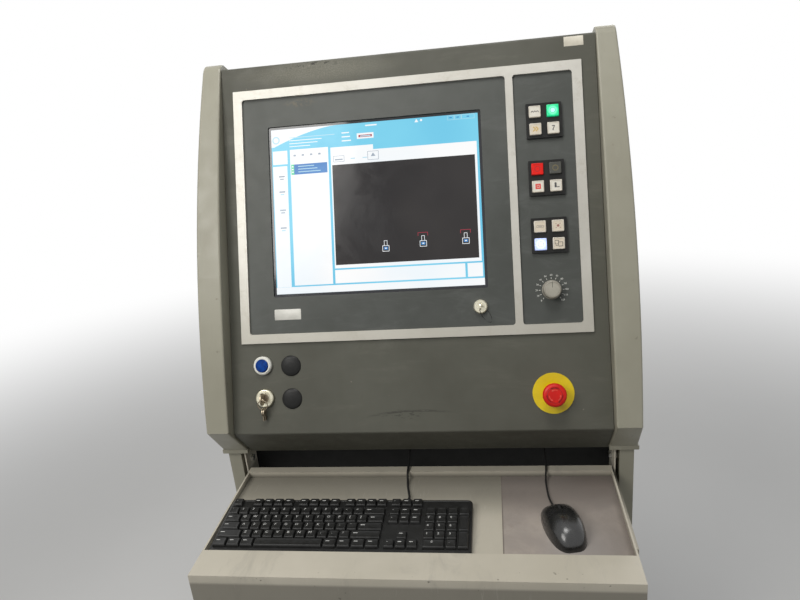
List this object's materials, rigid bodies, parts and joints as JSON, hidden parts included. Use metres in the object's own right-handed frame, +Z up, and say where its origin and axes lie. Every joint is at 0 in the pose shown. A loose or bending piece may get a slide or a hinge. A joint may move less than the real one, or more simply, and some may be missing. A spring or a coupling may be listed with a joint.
{
  "type": "machine operator console",
  "caption": "Free-standing machine operator console: sloped head with display, push-buttons and emergency stop between bowed columns, keyboard tray, two posts on foot bars.",
  "frame": {"origin": "centre of the bounding box on the floor, under the feet", "axes": "+X to the operator's right, +Y from the front to the back, +Z up"},
  "size_m": [0.7938, 0.5672, 1.662],
  "materials": {
    "dark_paint": "satin powder coat",
    "grey_paint": "semi-gloss paint",
    "tray_paint": "semi-gloss paint, worn",
    "black_paint": "matte paint",
    "silver_frame": "satin",
    "panel_paint": "matte paint",
    "display_glass": "glossy",
    "inner_steel": "plain",
    "black_plastic": "fine grain",
    "gloss_black_plastic": "glossy",
    "pale_cap": "satin",
    "green_cap": "lit",
    "red_cap": "lit",
    "dark_cap": "satin",
    "white_cap": "lit",
    "grey_knob": "satin",
    "cream_ring": "satin",
    "blue_lens": "translucent",
    "nickel": "polished",
    "yellow_plastic": "satin",
    "red_plastic": "satin",
    "mat_cloth": "worn mat",
    "zinc_steel": "zinc plated",
    "black_rubber": "matte"
  },
  "bodies": {
    "console": {"head_shell": "dark_paint", "rear_cover": "dark_paint", "left_column": "grey_paint", "right_column": "grey_paint", "left_post": "grey_paint", "right_post": "grey_paint", "left_tray_bracket": "tray_paint", "right_tray_bracket": "tray_paint", "tray": "tray_paint", "left_foot_bar": "grey_paint", "right_foot_bar": "grey_paint", "cross_beam": "grey_paint", "levelling_feet": "zinc_steel", "lower_panel": "black_paint", "bezel_frame": "silver_frame", "screen_panel": "panel_paint", "button_panel": "panel_paint", "display_glass": "display_glass", "display_chassis": "inner_steel", "computer_unit": "inner_steel", "upper_button_block": "black_plastic", "middle_button_block": "black_plastic", "lower_button_block": "black_plastic", "override_pot": "black_plastic", "lamp_ring": "cream_ring", "key_switch_barrel": "nickel", "blanking_plugs": "black_plastic", "estop_disc": "yellow_plastic", "estop_collar": "yellow_plastic", "contact_blocks": "black_plastic", "panel_lock": "nickel", "keyboard": "black_plastic", "keyboard_cord": "black_rubber", "mouse_body": "gloss_black_plastic", "mouse_cord": "black_rubber", "mouse_mat": "mat_cloth", "cord_grommets": "black_rubber", "fasteners": "zinc_steel"},
    "upper_cap_1": {"upper_cap_1": "pale_cap"},
    "upper_cap_2": {"upper_cap_2": "green_cap"},
    "upper_cap_3": {"upper_cap_3": "pale_cap"},
    "upper_cap_4": {"upper_cap_4": "pale_cap"},
    "middle_cap_1": {"middle_cap_1": "red_cap"},
    "middle_cap_2": {"middle_cap_2": "dark_cap"},
    "middle_cap_3": {"middle_cap_3": "pale_cap"},
    "middle_cap_4": {"middle_cap_4": "pale_cap"},
    "lower_cap_1": {"lower_cap_1": "pale_cap"},
    "lower_cap_2": {"lower_cap_2": "pale_cap"},
    "lower_cap_3": {"lower_cap_3": "white_cap"},
    "lower_cap_4": {"lower_cap_4": "pale_cap"},
    "lamp_button": {"lamp_button": "blue_lens"},
    "override_knob": {"override_knob": "grey_knob"},
    "switch_key": {"switch_key": "nickel"},
    "hanging_keys": {"hanging_keys": "nickel"},
    "estop_stem": {"estop_stem": "red_plastic"},
    "estop_head": {"estop_head": "red_plastic"},
    "panel_lock_key": {"panel_lock_key": "nickel"},
    "mouse_left_button": {"mouse_left_button": "gloss_black_plastic"},
    "mouse_right_button": {"mouse_right_button": "gloss_black_plastic"},
    "mouse_wheel": {"mouse_wheel": "black_rubber"}
  },
  "joints": [
    {"name": "upper_cap_1_press", "type": "slide", "parent": "console", "child": "upper_cap_1", "axis": [0, 0.9358, -0.3527], "range_m": [0, 0.003], "stiffness_N_per_m": 800, "springref_m": -0.001},
    {"name": "upper_cap_2_press", "type": "slide", "parent": "console", "child": "upper_cap_2", "axis": [0, 0.9358, -0.3527], "range_m": [0, 0.003], "stiffness_N_per_m": 800, "springref_m": -0.001},
    {"name": "upper_cap_3_press", "type": "slide", "parent": "console", "child": "upper_cap_3", "axis": [0, 0.9358, -0.3527], "range_m": [0, 0.003], "stiffness_N_per_m": 800, "springref_m": -0.001},
    {"name": "upper_cap_4_press", "type": "slide", "parent": "console", "child": "upper_cap_4", "axis": [0, 0.9358, -0.3527], "range_m": [0, 0.003], "stiffness_N_per_m": 800, "springref_m": -0.001},
    {"name": "middle_cap_1_press", "type": "slide", "parent": "console", "child": "middle_cap_1", "axis": [0, 0.9358, -0.3527], "range_m": [0, 0.003], "stiffness_N_per_m": 800, "springref_m": -0.001},
    {"name": "middle_cap_2_press", "type": "slide", "parent": "console", "child": "middle_cap_2", "axis": [0, 0.9358, -0.3527], "range_m": [0, 0.003], "stiffness_N_per_m": 800, "springref_m": -0.001},
    {"name": "middle_cap_3_press", "type": "slide", "parent": "console", "child": "middle_cap_3", "axis": [0, 0.9358, -0.3527], "range_m": [0, 0.003], "stiffness_N_per_m": 800, "springref_m": -0.001},
    {"name": "middle_cap_4_press", "type": "slide", "parent": "console", "child": "middle_cap_4", "axis": [0, 0.9358, -0.3527], "range_m": [0, 0.003], "stiffness_N_per_m": 800, "springref_m": -0.001},
    {"name": "lower_cap_1_press", "type": "slide", "parent": "console", "child": "lower_cap_1", "axis": [0, 0.9358, -0.3527], "range_m": [0, 0.003], "stiffness_N_per_m": 800, "springref_m": -0.001},
    {"name": "lower_cap_2_press", "type": "slide", "parent": "console", "child": "lower_cap_2", "axis": [0, 0.9358, -0.3527], "range_m": [0, 0.003], "stiffness_N_per_m": 800, "springref_m": -0.001},
    {"name": "lower_cap_3_press", "type": "slide", "parent": "console", "child": "lower_cap_3", "axis": [0, 0.9358, -0.3527], "range_m": [0, 0.003], "stiffness_N_per_m": 800, "springref_m": -0.001},
    {"name": "lower_cap_4_press", "type": "slide", "parent": "console", "child": "lower_cap_4", "axis": [0, 0.9358, -0.3527], "range_m": [0, 0.003], "stiffness_N_per_m": 800, "springref_m": -0.001},
    {"name": "lamp_button_press", "type": "slide", "parent": "console", "child": "lamp_button", "axis": [0, 0.9358, -0.3527], "range_m": [0, 0.004], "stiffness_N_per_m": 800, "springref_m": -0.001},
    {"name": "override_turn", "type": "hinge", "parent": "console", "child": "override_knob", "pos_m": [0.2435, 0.03111, 1.24783], "axis": [0, -0.9358, 0.3527], "range_deg": [-135, 135]},
    {"name": "key_switch_turn", "type": "hinge", "parent": "console", "child": "switch_key", "pos_m": [-0.2726, -0.02994, 1.08585], "axis": [0, -0.9358, 0.3527], "range_deg": [-45, 45]},
    {"name": "key_ring_swing", "type": "hinge", "parent": "switch_key", "child": "hanging_keys", "pos_m": [-0.2726, -0.04397, 1.09114], "axis": [-1, 0, 0], "range_deg": [-2, 60]},
    {"name": "estop_press", "type": "slide", "parent": "console", "child": "estop_stem", "axis": [0, 0.9358, -0.3527], "range_m": [0, 0.005]},
    {"name": "estop_twist", "type": "hinge", "parent": "estop_stem", "child": "estop_head", "pos_m": [0.2383, -0.04489, 1.08871], "axis": [0, 0.9358, -0.3527], "range_deg": [0, 40], "stiffness_Nm_per_rad": 0.1, "springref_deg": -11.46},
    {"name": "panel_lock_turn", "type": "hinge", "parent": "console", "child": "panel_lock_key", "pos_m": [0.122, 0.02469, 1.22514], "axis": [0, -0.9358, 0.3527], "range_deg": [0, 90]},
    {"name": "mouse_left_button_press", "type": "hinge", "parent": "console", "child": "mouse_left_button", "pos_m": [0.23975, -0.15533, 0.91702], "axis": [-0.9781, -0.2079, 0], "range_deg": [0, 1], "stiffness_Nm_per_rad": 2, "springref_deg": -0.97},
    {"name": "mouse_right_button_press", "type": "hinge", "parent": "console", "child": "mouse_right_button", "pos_m": [0.23975, -0.15533, 0.91702], "axis": [-0.9781, -0.2079, 0], "range_deg": [0, 1], "stiffness_Nm_per_rad": 2, "springref_deg": -0.97},
    {"name": "mouse_wheel_turn", "type": "hinge", "parent": "console", "child": "mouse_wheel", "pos_m": [0.23539, -0.13479, 0.92452], "axis": [0.9781, 0.2079, 0], "continuous": true}
  ]
}
